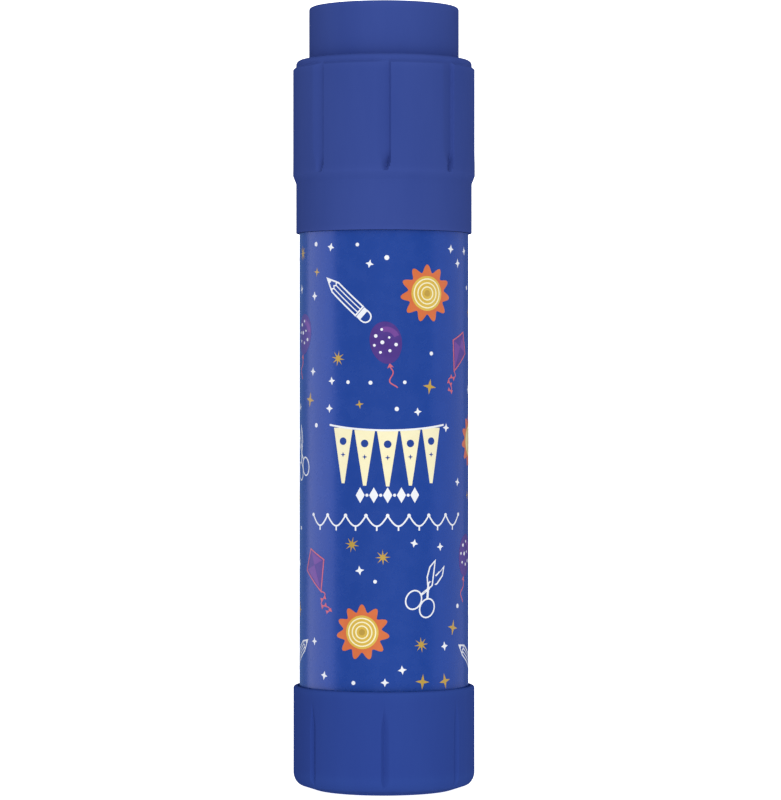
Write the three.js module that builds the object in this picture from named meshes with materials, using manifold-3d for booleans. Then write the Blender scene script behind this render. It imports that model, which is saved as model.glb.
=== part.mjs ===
// A closed twist-up glue stick. The turning base drives a threaded spindle, which lifts a carrier and
// the glue in it through the barrel; a cap with a sealing ring closes the barrel's mouth.
// Millimetres, +Z up, the foot at z = 0, the front of the label towards -Y.
import * as THREE from "three";
import { mergeVertices } from "three/addons/utils/BufferGeometryUtils.js";
import Module from "manifold-3d";

const wasm = await Module();
wasm.setup();

// Clearances between pieces
const runFit = 0.15; // on the radius, between pieces that turn or slide in each other
const glideFit = 0.25; // on the radius, between the bore and what travels along it
const pressFit = 0.1; // on each side of a piece that the real stick holds by force
const restGap = 0.3; // between a face and the face that it rests on
const seamGap = 0.15; // the fine dark line between two outer pieces
const skinGap = 0.03; // between the film and what it is wrapped on

// Barrel
const boreRadius = 7.6;
const barrelWall = 1.54;
const neckWall = 0.95;
const bodyLength = 50.05; // from the barrel's lower edge to its shoulder
const neckLength = 16.4;
const neckLip = 0.3; // rounding of the mouth
const neckBeadHeight = 0.16;
const neckBeadLength = 1.2;
const neckBeadRise = 3.2; // of the bead's middle above the shoulder
const barrelFloor = 1.4;
const barrelFloorRise = 1.1; // of the floor's underside above the barrel's lower edge
const spigotStep = 1.04; // how much the spigot is set in from the barrel's outside
const spigotWall = 1.1;
const spigotLength = 5.6;
const snapHeight = 0.4;
const snapLength = 1.1;
const ribHeight = 0.4;
const ribWidth = 1.0;
const ribSetback = 4.0; // of the ribs' upper ends below the mouth
const ribCount = 2;

// Label film
const filmThickness = 0.1;
const filmMargin = 0.05; // bare barrel at each end of the film
const lapFacets = 1; // facets of the barrel that the film covers twice, at the back

// Turning base
const knobHeight = 11.4;
const knobRimWall = 0.48;
const knobRimRecess = 0.5; // depth of the counterbore that takes the barrel's lower edge
const knobRimCorner = 0.45;
const knobFloor = 1.5;
const knobFootFillet = 1.75;
const knobFootRing = 1.65; // width of the flat ring that the stick stands on
const knobFootRecess = 0.3;
const knobBossWall = 0.9;
const knobFlutes = 7;
const knobFluteLeft = 0.36; // width of a flute's steep left side
const knobFluteRight = 0.74; // width of its gentle right side
const knobFluteDepth = 0.4;
const knobFluteFull = 7.5; // height up to which a flute keeps its full depth
const knobFluteEnd = 10.1; // height at which it has run out
const knobFluteTurn = 0.8; // degrees, of the first flute's foot to the right of the front

// Spindle and its packing ring
const coreRadius = 2.1;
const crestRadius = 3.0;
const threadLead = 5.0;
const threadRootWidth = 1.7;
const threadCrestWidth = 0.9;
const threadFit = 0.25; // all round between the spindle's thread and the carrier's
const threadRunIn = 0.3; // plain length between the thread and each end of the core
const flangeRadius = 4.4;
const flangeThickness = 1.0;
const journalRadius = 2.6;
const journalReach = 1.4; // of the journal below the barrel's floor
const stemSide = 3.2;
const stemLength = 7.5;
const ringCord = 0.9;

// Carrier and glue
const carrierFloor = 1.2;
const carrierHeight = 7.0;
const carrierWall = 0.9;
const nutLength = 4.5;
const nutWall = 1.05;
const threadGrip = 3.35; // length of the nut still on the thread when the glue is fully out
const glueGap = 0.3; // between the glue and the bore
const glueSetback = 3.0; // of the glue's end below the mouth
const glueOverSpindle = 6.0;
const glueEdge = 0.35;

// Cap and its sealing ring
const capSkirtWall = 0.85;
const capNeckFit = 0.3; // on the radius, between the cap and the neck
const capSkirtLength = 5.4;
const capRoof = 1.75;
const collarCorner = 0.7;
const landHeight = 0.35;
const landDrop = 1.1; // of the lands' upper ends below the collar's top
const landTopBevel = 0.3;
const landBottomBevel = 1.0;
const noseInset = 1.43; // of the nose from the collar
const noseLength = 5.5;
const noseWall = 1.2;
const noseCorner = 0.45;
const capFlutes = 8;
const capFluteLeft = 1.5; // width of a flute's gentle left side
const capFluteRight = 0.2; // width of its steep right side
const capFluteDepth = 0.45;
const capFluteTurn = 4.0; // degrees, of the first flute's foot to the right of the front
const pocketLeft = 0.75; // width of the left side in the pocket at a flute's lower end
const pocketHeight = 1.4;
const pocketBelly = 0.75; // of the pocket's fullest place above its lower end
const pocketTip = 0.15; // of the pocket's lower end to the left of the flute's foot
const plugFlange = 1.0;
const plugDepth = 2.0;
const plugWall = 0.8;

// Facets
const roundFacets = 42; // a multiple of the knob's flutes and of the ribs
const capFacets = 40; // a multiple of the cap's flutes
const threadFacets = 16;
const cornerSteps = 3;
const filletSteps = 5;
const weldDistance = 1e-4;
const cutMargin = 1.0; // how far a cutter reaches past what it cuts
const wedgeReach = 2.0; // size of a flute's cutter, as a multiple of the flute's section
const rootSink = 0.3; // how far a ridge or stem reaches into what it stands on
const ringSteps = 8; // sides of the packing ring's section

// Radii that follow from the sizes above
const barrelRadius = boreRadius + barrelWall;
const neckRadius = boreRadius + neckWall;
const spigotRadius = barrelRadius - spigotStep;
const filmRadius = barrelRadius + skinGap;
const filmStep = filmThickness + skinGap; // how far the lap stands out
const labelRadius = filmRadius + filmThickness;
const knobRimRadius = labelRadius + filmStep + runFit - skinGap;
const knobRadius = knobRimRadius + knobRimWall;
const knobCavityRadius = spigotRadius + snapHeight + glideFit;
const capBoreRadius = neckRadius + capNeckFit;
const collarRadius = capBoreRadius + capSkirtWall;
const landRadius = collarRadius + landHeight;
const noseRadius = collarRadius - noseInset;
const journalBoreRadius = journalRadius + runFit;
const ringRadius = journalRadius + pressFit + ringCord / 2;
const ringRecessRadius = ringRadius + ringCord / 2 + pressFit;
const nutBoreRadius = coreRadius + threadFit;
const nutRadius = crestRadius + threadFit + nutWall;
const carrierRadius = boreRadius - glideFit;
const carrierInnerRadius = carrierRadius - carrierWall;
const glueRadius = boreRadius - glueGap;
const socketSide = stemSide + 2 * pressFit;
const bossRadius = socketSide / Math.SQRT2 + knobBossWall;

// Heights that follow from the sizes above
const barrelFoot = knobHeight - knobRimRecess + runFit;
const spigotFoot = barrelFoot - spigotLength;
const floorBottom = barrelFoot + barrelFloorRise;
const floorTop = floorBottom + barrelFloor;
const shoulder = barrelFoot + bodyLength;
const mouth = shoulder + neckLength;
const flangeBottom = floorTop + restGap;
const flangeTop = flangeBottom + flangeThickness;
const ringRecessDepth = 2 * pressFit + ringCord - restGap;
const ringMiddle = floorTop - ringRecessDepth + pressFit + ringCord / 2;
const journalBottom = floorBottom - journalReach;
const bossTop = journalBottom - restGap;
const stemBottom = journalBottom - stemLength;
const carrierBottom = flangeTop + restGap;
const nutTop = carrierBottom + nutLength;
const carrierTop = carrierBottom + carrierHeight;
const glueBottom = carrierBottom + carrierFloor + restGap;
const glueTop = mouth - glueSetback;
const spindleTop = glueTop - glueOverSpindle;
const skirtBottom = shoulder + seamGap;
const plugBottom = mouth - plugDepth;
const plugSeat = mouth + restGap;
const plugTop = plugSeat + plugFlange;
const capCeiling = plugTop + pressFit;
const collarTop = capCeiling + capRoof;
const noseTop = collarTop + noseLength;
const landTop = collarTop - landDrop;
const landBottom = skirtBottom + capSkirtLength + landBottomBevel;

// The nut stays on the spindle's thread over this travel.
const feedTravel = spindleTop - carrierBottom - threadGrip;

// Points of a round corner about (r, z), from one angle in degrees to another.
function arc(r, z, radius, from, to, steps = cornerSteps) {
  const points = [];
  for (let i = 0; i <= steps; i++) {
    const angle = THREE.MathUtils.degToRad(from + ((to - from) * i) / steps);
    points.push([r + radius * Math.cos(angle), z + radius * Math.sin(angle)]);
  }
  return points;
}

function solidOf(geometry) {
  const bare = geometry.index ? geometry.toNonIndexed() : geometry.clone();
  bare.deleteAttribute("normal");
  bare.deleteAttribute("uv");
  const merged = mergeVertices(bare, weldDistance);
  const corners = merged.index.array;
  const kept = [];
  for (let i = 0; i < corners.length; i += 3) {
    const [a, b, c] = corners.subarray(i, i + 3);
    const flat = a === b || b === c || c === a;
    if (!flat) kept.push(a, b, c);
  }
  const mesh = new wasm.Mesh({
    numProp: 3,
    vertProperties: new Float32Array(merged.attributes.position.array),
    triVerts: new Uint32Array(kept),
  });
  return new wasm.Manifold(mesh);
}

function geometryOf(solid) {
  const mesh = solid.getMesh();
  const geometry = new THREE.BufferGeometry();
  geometry.setAttribute("position", new THREE.BufferAttribute(mesh.vertProperties, 3));
  geometry.setIndex(new THREE.BufferAttribute(mesh.triVerts, 1));
  geometry.computeVertexNormals();
  return geometry;
}

// A turned solid from a profile of [radius, height] points, listed with the material on the left.
function turned(profile, facets = roundFacets, closed = true) {
  const points = profile.map(([r, z]) => new THREE.Vector2(r, z));
  if (closed) points.push(points[0].clone());
  const lathe = new THREE.LatheGeometry(points, facets);
  return solidOf(lathe.rotateX(Math.PI / 2));
}

// A square bar along the axis.
function squareBar(side, bottom, top) {
  const bar = new THREE.BoxGeometry(side, side, top - bottom);
  return solidOf(bar.translate(0, 0, (bottom + top) / 2));
}

// Solid copies of one geometry, spaced evenly round the axis.
function copiesAround(geometry, count, firstDegrees = 0) {
  const copies = [];
  for (let i = 0; i < count; i++) {
    const turn = THREE.MathUtils.degToRad(firstDegrees + (360 * i) / count);
    copies.push(solidOf(geometry.clone().rotateZ(turn)));
  }
  return copies;
}

function cutBy(solid, cutters) {
  return cutters.reduce((rest, cutter) => rest.subtract(cutter), solid);
}

// A closed skin over rings of points, all with the same number of points and each one convex.
function skinned(rings) {
  const sides = rings[0].length;
  const end = (rings.length - 1) * sides;
  const faces = [];
  for (let i = 0; i < end; i += sides) {
    for (let side = 0; side < sides; side++) {
      const a = i + side;
      const b = i + ((side + 1) % sides);
      faces.push(a, b, a + sides, b, b + sides, a + sides);
    }
  }
  for (let side = 1; side < sides - 1; side++) {
    faces.push(0, side + 1, side);
    faces.push(end, end + side, end + side + 1);
  }
  const geometry = new THREE.BufferGeometry();
  geometry.setAttribute("position", new THREE.Float32BufferAttribute(rings.flat(2), 3));
  geometry.setIndex(faces);
  return geometry;
}

// A helical ridge of trapezoid section on a left-hand helix, so that a positive turn of the spindle
// about +Z lifts the nut. Every ridge lies on the same helix, and its steps fall half way between the
// facets of the round core that it joins.
function threadRidge(innerRadius, outerRadius, innerWidth, outerWidth, from, to) {
  const section = [
    [innerRadius, -innerWidth / 2],
    [outerRadius, -outerWidth / 2],
    [outerRadius, outerWidth / 2],
    [innerRadius, innerWidth / 2],
  ];
  const stepRise = threadLead / threadFacets;
  const first = Math.ceil((from - flangeTop) / stepRise - 0.5) + 0.5;
  const steps = Math.floor((to - from) / stepRise) - 1;
  const rings = [];
  for (let i = first; i <= first + steps; i++) {
    const angle = (-2 * Math.PI * i) / threadFacets;
    const middle = flangeTop + i * stepRise;
    rings.push(section.map(([r, rise]) => [r * Math.sin(angle), -r * Math.cos(angle), middle + rise]));
  }
  return solidOf(skinned(rings));
}

// Bars along the bore's wall, from its root in the wall in to a radius: the barrel's guide ribs, and
// the room for them in what travels along the bore.
function guideBars(innerRadius, width, bottom, top) {
  const rootRadius = boreRadius + neckWall / 2;
  const bar = new THREE.BoxGeometry(rootRadius - innerRadius, width, top - bottom);
  bar.translate((rootRadius + innerRadius) / 2, 0, (bottom + top) / 2);
  return copiesAround(bar, ribCount);
}

function withRibGrooves(solid, bottom, top) {
  const floor = boreRadius - ribHeight - glideFit;
  const width = ribWidth + 2 * glideFit;
  return cutBy(solid, guideBars(floor, width, bottom - cutMargin, top + cutMargin));
}

function barrel() {
  const beadMiddle = shoulder + neckBeadRise;
  const beadRadius = neckRadius + neckBeadHeight;
  const spigotInner = spigotRadius - spigotWall;
  const snapTop = spigotFoot + snapLength;
  const profile = [
    [spigotInner, spigotFoot],
    [spigotRadius, spigotFoot],
    [spigotRadius + snapHeight, snapTop - snapHeight],
    [spigotRadius + snapHeight, snapTop],
    [spigotRadius, snapTop],
    [spigotRadius, barrelFoot],
    [barrelRadius, barrelFoot],
    [barrelRadius, shoulder],
    [neckRadius, shoulder],
    [neckRadius, beadMiddle - neckBeadLength / 2],
    [beadRadius, beadMiddle],
    [neckRadius, beadMiddle + neckBeadLength / 2],
    ...arc(neckRadius - neckLip, mouth - neckLip, neckLip, 0, 90),
    [boreRadius, mouth],
    [boreRadius, floorTop],
    [ringRecessRadius, floorTop],
    [ringRecessRadius, floorTop - ringRecessDepth],
    [journalBoreRadius, floorTop - ringRecessDepth],
    [journalBoreRadius, floorBottom],
    [spigotInner, floorBottom],
  ];
  const ribBottom = floorTop - barrelFloor / 2;
  const ribs = guideBars(boreRadius - ribHeight, ribWidth, ribBottom, mouth - ribSetback);
  return ribs.reduce((tube, rib) => tube.add(rib), turned(profile));
}

// The film runs once round the barrel from the back and climbs over its own start there.
function labelSleeve() {
  const facet = (2 * Math.PI) / roundFacets;
  const inner = [];
  const outer = [];
  for (let i = 0; i <= roundFacets + lapFacets; i++) {
    const angle = Math.PI + i * facet;
    const r = filmRadius + (i >= roundFacets ? filmStep : 0);
    inner.push(new THREE.Vector2(r * Math.sin(angle), -r * Math.cos(angle)));
    const outside = r + filmThickness;
    outer.push(new THREE.Vector2(outside * Math.sin(angle), -outside * Math.cos(angle)));
  }
  const shape = new THREE.Shape([...outer, ...inner.reverse()]);
  const depth = bodyLength - 2 * filmMargin;
  const film = new THREE.ExtrudeGeometry(shape, { depth, bevelEnabled: false });
  return solidOf(film.translate(0, 0, barrelFoot + filmMargin));
}

// One flute's cutter at the front: a wedge that stands on the flute's foot. Each level gives its
// height, the widths of the flute's two sides at the surface, how far the foot lies to the left and
// how far it is lifted off the flute's full depth.
function fluteCutter(radius, depth, levels) {
  const floor = radius - depth;
  const rings = levels.map(({ z, left, right, tip = 0, lift = 0 }) => {
    const foot = -floor - lift;
    const rise = (width) => wedgeReach * (Math.sqrt(radius ** 2 - width ** 2) - floor);
    return [
      [wedgeReach * right - tip, foot - rise(right), z],
      [-tip, foot, z],
      [-wedgeReach * left - tip, foot - rise(left), z],
    ];
  });
  return skinned(rings);
}

// The knob's flutes run out upwards.
function knobFluteCutter() {
  const sides = { left: knobFluteLeft, right: knobFluteRight };
  return fluteCutter(knobRadius, knobFluteDepth, [
    { z: -cutMargin, ...sides },
    { z: knobFluteFull, ...sides },
    { z: knobFluteEnd, ...sides, lift: knobFluteDepth },
  ]);
}

function knob() {
  const footRadius = knobRadius - knobFootFillet;
  const recessRadius = footRadius - knobFootRing;
  const beadRadius = spigotRadius + runFit;
  const beadBottom = spigotFoot + snapLength + restGap;
  const beadTop = beadBottom + snapLength;
  const rimStep = knobHeight - knobRimRecess;
  const profile = [
    [0, knobFootRecess],
    [recessRadius, knobFootRecess],
    [recessRadius, 0],
    ...arc(footRadius, knobFootFillet, knobFootFillet, -90, 0, filletSteps),
    ...arc(knobRadius - knobRimCorner, knobHeight - knobRimCorner, knobRimCorner, 0, 90),
    [knobRimRadius, knobHeight],
    [knobRimRadius, rimStep],
    [knobCavityRadius, rimStep],
    [knobCavityRadius, beadTop + snapHeight],
    [beadRadius, beadTop],
    [beadRadius, beadBottom],
    [knobCavityRadius, beadBottom],
    [knobCavityRadius, knobFloor],
    [bossRadius, knobFloor],
    [bossRadius, bossTop],
    [0, bossTop],
  ];
  const socket = squareBar(socketSide, stemBottom - restGap, bossTop + cutMargin);
  const cup = turned(profile, roundFacets, false).subtract(socket);
  return cutBy(cup, copiesAround(knobFluteCutter(), knobFlutes, knobFluteTurn));
}

function spindle() {
  const profile = [
    [0, journalBottom],
    [journalRadius, journalBottom],
    [journalRadius, flangeBottom],
    [flangeRadius, flangeBottom],
    [flangeRadius, flangeTop],
    [coreRadius, flangeTop],
    [coreRadius, spindleTop - threadRunIn],
    [coreRadius - threadRunIn, spindleTop],
    [0, spindleTop],
  ];
  const halfRidge = threadRootWidth / 2;
  const ridge = threadRidge(
    coreRadius - rootSink,
    crestRadius,
    threadRootWidth,
    threadCrestWidth,
    flangeTop + threadRunIn + halfRidge,
    spindleTop - threadRunIn - halfRidge,
  );
  const stem = squareBar(stemSide, stemBottom, journalBottom + rootSink);
  return turned(profile, threadFacets, false).add(ridge).add(stem);
}

function spindlePackingRing() {
  const section = arc(ringRadius, ringMiddle, ringCord / 2, -90, 270, ringSteps);
  section.pop();
  return turned(section, threadFacets);
}

function carrierCup() {
  const profile = [
    [0, carrierBottom],
    [carrierRadius, carrierBottom],
    [carrierRadius, carrierTop],
    [carrierInnerRadius, carrierTop],
    [carrierInnerRadius, carrierBottom + carrierFloor],
    [nutRadius, carrierBottom + carrierFloor],
    [nutRadius, nutTop],
    [0, nutTop],
  ];
  const cup = turned(profile, roundFacets, false).subtract(threadedBore());
  return withRibGrooves(cup, carrierBottom, carrierTop);
}

// The spindle's thread with its clearance all round, long enough to pass right through the nut.
function threadedBore() {
  const spread = 2 * threadFit;
  const bottom = carrierBottom - threadLead / 2;
  const top = nutTop + threadLead / 2;
  const bore = [
    [0, bottom],
    [nutBoreRadius, bottom],
    [nutBoreRadius, top],
    [0, top],
  ];
  const groove = threadRidge(
    coreRadius,
    crestRadius + threadFit,
    threadRootWidth + spread,
    threadCrestWidth + spread,
    bottom,
    top,
  );
  return turned(bore, threadFacets, false).add(groove);
}

function glueColumn() {
  const cupRadius = carrierInnerRadius - glueGap;
  const neckStart = carrierTop + restGap;
  const hubRoom = nutRadius + restGap;
  const hubRoomTop = nutTop + restGap;
  const rodRoom = crestRadius + restGap;
  const rodRoomTop = spindleTop + restGap;
  const profile = [
    [hubRoom, glueBottom],
    [cupRadius, glueBottom],
    [cupRadius, neckStart],
    [glueRadius, neckStart],
    [glueRadius, glueTop - glueEdge],
    [glueRadius - glueEdge, glueTop],
    [0, glueTop],
    [0, rodRoomTop],
    [rodRoom, rodRoomTop],
    [rodRoom, hubRoomTop],
    [hubRoom, hubRoomTop],
  ];
  return withRibGrooves(turned(profile), neckStart, glueTop);
}

// The cap's flutes run out through the shoulder. Each one's lower end is a pocket with a steeper
// left side, which draws in to a tip.
function capFluteCutter() {
  const right = capFluteRight;
  const tip = pocketTip;
  return fluteCutter(landRadius, capFluteDepth, [
    { z: landBottom, left: pocketLeft, right, tip, lift: capFluteDepth },
    { z: landBottom + pocketBelly, left: pocketLeft, right },
    { z: landBottom + pocketHeight, left: capFluteLeft, right },
    { z: collarTop + cutMargin, left: capFluteLeft, right },
  ]);
}

function capShell() {
  const noseInner = noseRadius - noseWall;
  const cornerMiddle = collarTop - collarCorner;
  const profile = [
    [capBoreRadius, skirtBottom],
    [collarRadius, skirtBottom],
    [collarRadius, landBottom - landBottomBevel],
    [landRadius, landBottom],
    [landRadius, landTop - landTopBevel],
    [collarRadius, landTop],
    ...arc(collarRadius - collarCorner, cornerMiddle, collarCorner, 0, 90),
    [noseRadius, collarTop],
    ...arc(noseRadius - noseCorner, noseTop - noseCorner, noseCorner, 0, 90),
    [0, noseTop],
    [0, noseTop - noseWall],
    [noseInner, noseTop - noseWall],
    [noseInner, capCeiling],
    [capBoreRadius, capCeiling],
  ];
  const shell = turned(profile, capFacets);
  return cutBy(shell, copiesAround(capFluteCutter(), capFlutes, capFluteTurn));
}

function capInnerPlug() {
  const skirtRadius = boreRadius - runFit;
  const flangeOuter = capBoreRadius - pressFit;
  return turned([
    [skirtRadius - plugWall, plugBottom],
    [skirtRadius, plugBottom],
    [skirtRadius, plugSeat],
    [flangeOuter, plugSeat],
    [flangeOuter, plugTop],
    [skirtRadius - plugWall, plugTop],
  ]);
}

function piece(name, solid, color, roughness) {
  const material = new THREE.MeshStandardMaterial({ color, roughness, metalness: 0 });
  const mesh = new THREE.Mesh(geometryOf(solid), material);
  mesh.name = name;
  return mesh;
}

const mouldedBlue = 0x374a96;
const filmBlue = 0x2b4b9c;
const naturalPlastic = 0xe9e7df;
const whitePlastic = 0xf2f2f0;
const glueWhite = 0xf3efe2;
const sealBlack = 0x26262a;

const body = new THREE.Group();
body.add(piece("barrel", barrel(), whitePlastic, 0.4));
body.add(piece("label_sleeve", labelSleeve(), filmBlue, 0.35));

const drive = new THREE.Group();
drive.add(piece("knob", knob(), mouldedBlue, 0.45));
drive.add(piece("spindle", spindle(), whitePlastic, 0.45));
drive.add(piece("spindle_packing_ring", spindlePackingRing(), sealBlack, 0.7));

const carriage = new THREE.Group();
carriage.add(piece("carrier_cup", carrierCup(), whitePlastic, 0.45));
carriage.add(piece("glue_column", glueColumn(), glueWhite, 0.55));

const cap = new THREE.Group();
cap.add(piece("cap_shell", capShell(), mouldedBlue, 0.45));
cap.add(piece("cap_inner_plug", capInnerPlug(), naturalPlastic, 0.4));

const glueStick = new THREE.Group();
glueStick.add(body, drive, carriage, cap);
glueStick.userData = { feedTravel, feedTurns: feedTravel / threadLead };

export default glueStick;
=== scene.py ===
# Glue stick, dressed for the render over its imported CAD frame.
# Sizes are millimetres, turned into Blender's metres by mm. +Z runs up the stick and the label
# faces -Y. An angle round the axis starts at the front and grows towards +X.
import bpy
import numpy as np
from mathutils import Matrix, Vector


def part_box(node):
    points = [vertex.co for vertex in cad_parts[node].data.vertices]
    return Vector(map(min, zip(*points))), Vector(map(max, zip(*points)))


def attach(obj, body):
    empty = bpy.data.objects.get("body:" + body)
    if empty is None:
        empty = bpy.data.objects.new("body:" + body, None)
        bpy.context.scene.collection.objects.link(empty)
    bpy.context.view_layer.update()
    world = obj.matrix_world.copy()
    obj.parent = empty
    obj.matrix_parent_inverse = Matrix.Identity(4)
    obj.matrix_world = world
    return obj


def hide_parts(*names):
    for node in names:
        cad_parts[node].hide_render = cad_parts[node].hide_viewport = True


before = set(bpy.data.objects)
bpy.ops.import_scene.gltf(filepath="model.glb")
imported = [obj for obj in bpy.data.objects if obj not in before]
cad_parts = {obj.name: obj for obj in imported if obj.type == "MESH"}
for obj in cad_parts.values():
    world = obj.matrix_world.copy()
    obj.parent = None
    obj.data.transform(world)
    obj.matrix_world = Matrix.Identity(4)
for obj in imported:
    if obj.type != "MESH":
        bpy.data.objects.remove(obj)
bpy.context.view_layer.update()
mm = 0.001
scene = bpy.context.scene
print("frame loaded:", ", ".join(sorted(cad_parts)))

wearReach = 0.6  # how far from a rounded outer edge handling shows
flatCorner = 1.5  # half a corner's angle, in radians, from which it gets no fillet
sharpDegrees = 32  # an edge that turns by more than this is shaded sharp
softEdge = 0.012  # the width over which a cut runs into the surface beside it
hair = 0.01  # heights or radii that differ by less count as one


def reach(node):
    # lowest height, highest height and largest radius of a CAD node, in millimetres
    low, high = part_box(node)
    return low.z / mm, high.z / mm, max(-low.x, high.x, -low.y, high.y) / mm


def unit(vector):
    return vector / np.hypot(*vector)


def filleted(corners, step, arcSteps):
    # Straight runs between corners (radius, height, fillet). A corner with a fillet becomes an arc
    # that touches both runs: it starts fillet / tan(half the angle) before the corner, and its
    # centre lies fillet / sin(half the angle) along the bisector. Runs are cut into pieces up to
    # step long.
    # Gives radius, height and wear: 1 on the arcs of outer corners, falling in a straight line to 0
    # at wearReach along the profile.
    places = np.array([corner[:2] for corner in corners], float)
    rounds = [corner[2] if len(corner) > 2 else 0 for corner in corners]
    runs = [(places[:1], [False])]
    for i in range(1, len(places) - 1):
        back, ahead = unit(places[i - 1] - places[i]), unit(places[i + 1] - places[i])
        half = np.arccos(np.clip(back @ ahead, -1, 1)) / 2
        if rounds[i] <= 0 or half > flatCorner:
            runs.append((places[i:i + 1], [False]))
            continue
        middle = places[i] + unit(back + ahead) * rounds[i] / np.sin(half)
        start = places[i] + back * rounds[i] / np.tan(half) - middle
        end = places[i] + ahead * rounds[i] / np.tan(half) - middle
        sweep = np.pi - 2 * half
        share = np.linspace(0, 1, arcSteps + 1)[:, None]
        spokes = start * np.sin((1 - share) * sweep) + end * np.sin(share * sweep)
        outer = back[0] * ahead[1] - back[1] * ahead[0] < 0
        runs.append((middle + spokes / np.sin(sweep), [outer] * (arcSteps + 1)))
    runs.append((places[-1:], [False]))
    points = np.concatenate([run[0] for run in runs])
    onEdge = np.concatenate([run[1] for run in runs])
    lengths = np.hypot(*np.diff(points, axis=0).T)
    counts = np.maximum(1, np.ceil(lengths / step)).astype(int)
    at = np.concatenate([[0]] + [k + np.arange(1, n + 1) / n for k, n in enumerate(counts)])
    travelled = np.concatenate([[0], np.cumsum(lengths)])
    radius, height, here = (
        np.interp(at, np.arange(len(points)), values) for values in (*points.T, travelled))
    edges = np.append(travelled[onEdge], -wearReach)
    return radius, height, np.clip(1 - np.abs(here[:, None] - edges).min(1) / wearReach, 0, 1)


def aroundAxis(radius, turn, height):
    # x = r sin(a), y = -r cos(a), z = height
    x, y = radius * np.sin(turn), -radius * np.cos(turn)
    return np.stack(np.broadcast_arrays(x, y, height), -1)


def linked(name, data):
    made = bpy.data.objects.new(name, data)
    scene.collection.objects.link(made)
    return made


def meshOf(name, points, quads, triangles):
    mesh = bpy.data.meshes.new(name)
    mesh.from_pydata(points.tolist(), [], quads.tolist() + triangles.tolist())
    mesh.shade_smooth()
    mesh.set_sharp_from_angle(angle=np.radians(sharpDegrees))
    return linked(name, mesh)


def skinFaces(rows, columns, poles, closedRows):
    # Quads between neighbouring rows of a grid whose columns run round and join up. A pole row is
    # one point, so the quads beside it become triangles. Closed rows join the last to the first.
    index = np.arange(rows * columns).reshape(rows, columns)
    if closedRows:
        index = np.concatenate([index, index[:1]])
    lower, upper = index[:-1], index[1:]
    quads = np.stack([lower, np.roll(lower, -1, 1), np.roll(upper, -1, 1), upper], -1)
    if not poles:
        return quads.reshape(-1, 4), np.empty((0, 3), int)
    bottom = np.stack([np.zeros(columns, int), quads[0, :, 2], quads[0, :, 3]], -1)
    top = np.stack([quads[-1, :, 0], quads[-1, :, 1], np.full(columns, index[-1, 0])], -1)
    return quads[1:-1].reshape(-1, 4), np.concatenate([bottom, top])


def withoutSpares(points, quads, triangles, *values):
    # drops the points that no face uses, such as the copies along a pole row
    used = np.unique(np.concatenate([quads.ravel(), triangles.ravel()]))
    renumbered = np.zeros(len(points), int)
    renumbered[used] = np.arange(len(used))
    faces = [renumbered[quads], renumbered[triangles]]
    return [points[used], *faces, *[value[used] for value in values]]


def turnedPiece(name, look, corners, angles, shape=None, poles=True, step=0.6, arcSteps=5):
    # A profile turned round the axis. A name in a corner stands for that setting in look. shape, if
    # given, changes the radius with the height and the angle. The profile has the material on its
    # left, so that the faces look outward. Without poles its last point is its first.
    corners = [[look.get(value, value) for value in corner] for corner in corners]
    radius, height, wear = filleted(corners, step, arcSteps)
    radius, height, turn = np.broadcast_arrays(radius[:, None], height[:, None], angles)
    if shape is not None:
        radius = shape(radius, height, turn)
    rows = len(radius) if poles else len(radius) - 1
    points = aroundAxis(radius, turn, height)[:rows].reshape(-1, 3) * mm
    quads, triangles = skinFaces(rows, len(angles), poles, not poles)
    marks = np.repeat(wear[:rows], len(angles))
    points, quads, triangles, marks = withoutSpares(points, quads, triangles, marks)
    made = meshOf(name, points, quads, triangles)
    made.data.attributes.new("wear", "FLOAT", "POINT").data.foreach_set("value", marks)
    return made


def evenAngles(count):
    return np.arange(count) * 2 * np.pi / count


def angleBands(count, turn, bands):
    # Angles round the axis, repeated count times from turn degrees. bands are (from, to, step) in
    # degrees about each repeat's own zero, so that columns crowd where a shape is sharp.
    one = np.concatenate([np.arange(start, end - step / 3, step) for start, end, step in bands])
    whole = (turn + one + np.arange(count)[:, None] * 360 / count).ravel()
    return np.radians(np.sort(whole % 360))


def place(piece, material, body, slot, *nodes):
    # nodes are the CAD nodes that the piece stands for
    piece.data.materials.append(bpy.data.materials[material])
    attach(piece, body)
    if nodes:
        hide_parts(*nodes)
    print("made", piece.name, len(piece.data.polygons), "faces")


def linear(code):
    # sRGB hex to linear: c / 12.92 below 0.04045, else ((c + 0.055) / 1.055)^2.4
    channel = np.array([int(code[i:i + 2], 16) for i in (1, 3, 5)]) / 255
    value = np.where(channel <= 0.04045, channel / 12.92, ((channel + 0.055) / 1.055) ** 2.4)
    return (*value.tolist(), 1.0)


def setInputs(tree, node, inputs):
    # each input gets a link from a node's first output in use, a link from a socket, or a value
    for name, value in dict(inputs).items():
        if isinstance(value, bpy.types.Node):
            value = next(output for output in value.outputs if output.enabled)
        if isinstance(value, bpy.types.NodeSocket):
            tree.links.new(value, node.inputs[name])
        else:
            node.inputs[name].default_value = value


def addNode(tree, kind, inputs=(), **settings):
    made = tree.nodes.new("ShaderNode" + kind)
    for name, value in settings.items():
        setattr(made, name, value)
    setInputs(tree, made, inputs)
    return made


def startMaterial(name, constants):
    material = bpy.data.materials.new(name)
    material.use_nodes = True
    shader = material.node_tree.nodes["Principled BSDF"]
    setInputs(material.node_tree, shader, constants)
    material.diffuse_color = shader.inputs["Base Color"].default_value
    return material.node_tree, shader


def milky(weight, *radii):
    # lit from within, to these depths in metres in red, green and blue
    return {"Subsurface Weight": weight, "Subsurface Radius": radii, "Subsurface Scale": 1.0}


def span(side, low, high):
    # the two ends of one side of a Map Range node
    return {side + " Min": low, side + " Max": high}


def perMm(size):
    # noise scale for features of this many millimetres, on Object coordinates in metres
    return 1 / (size * mm)


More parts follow.
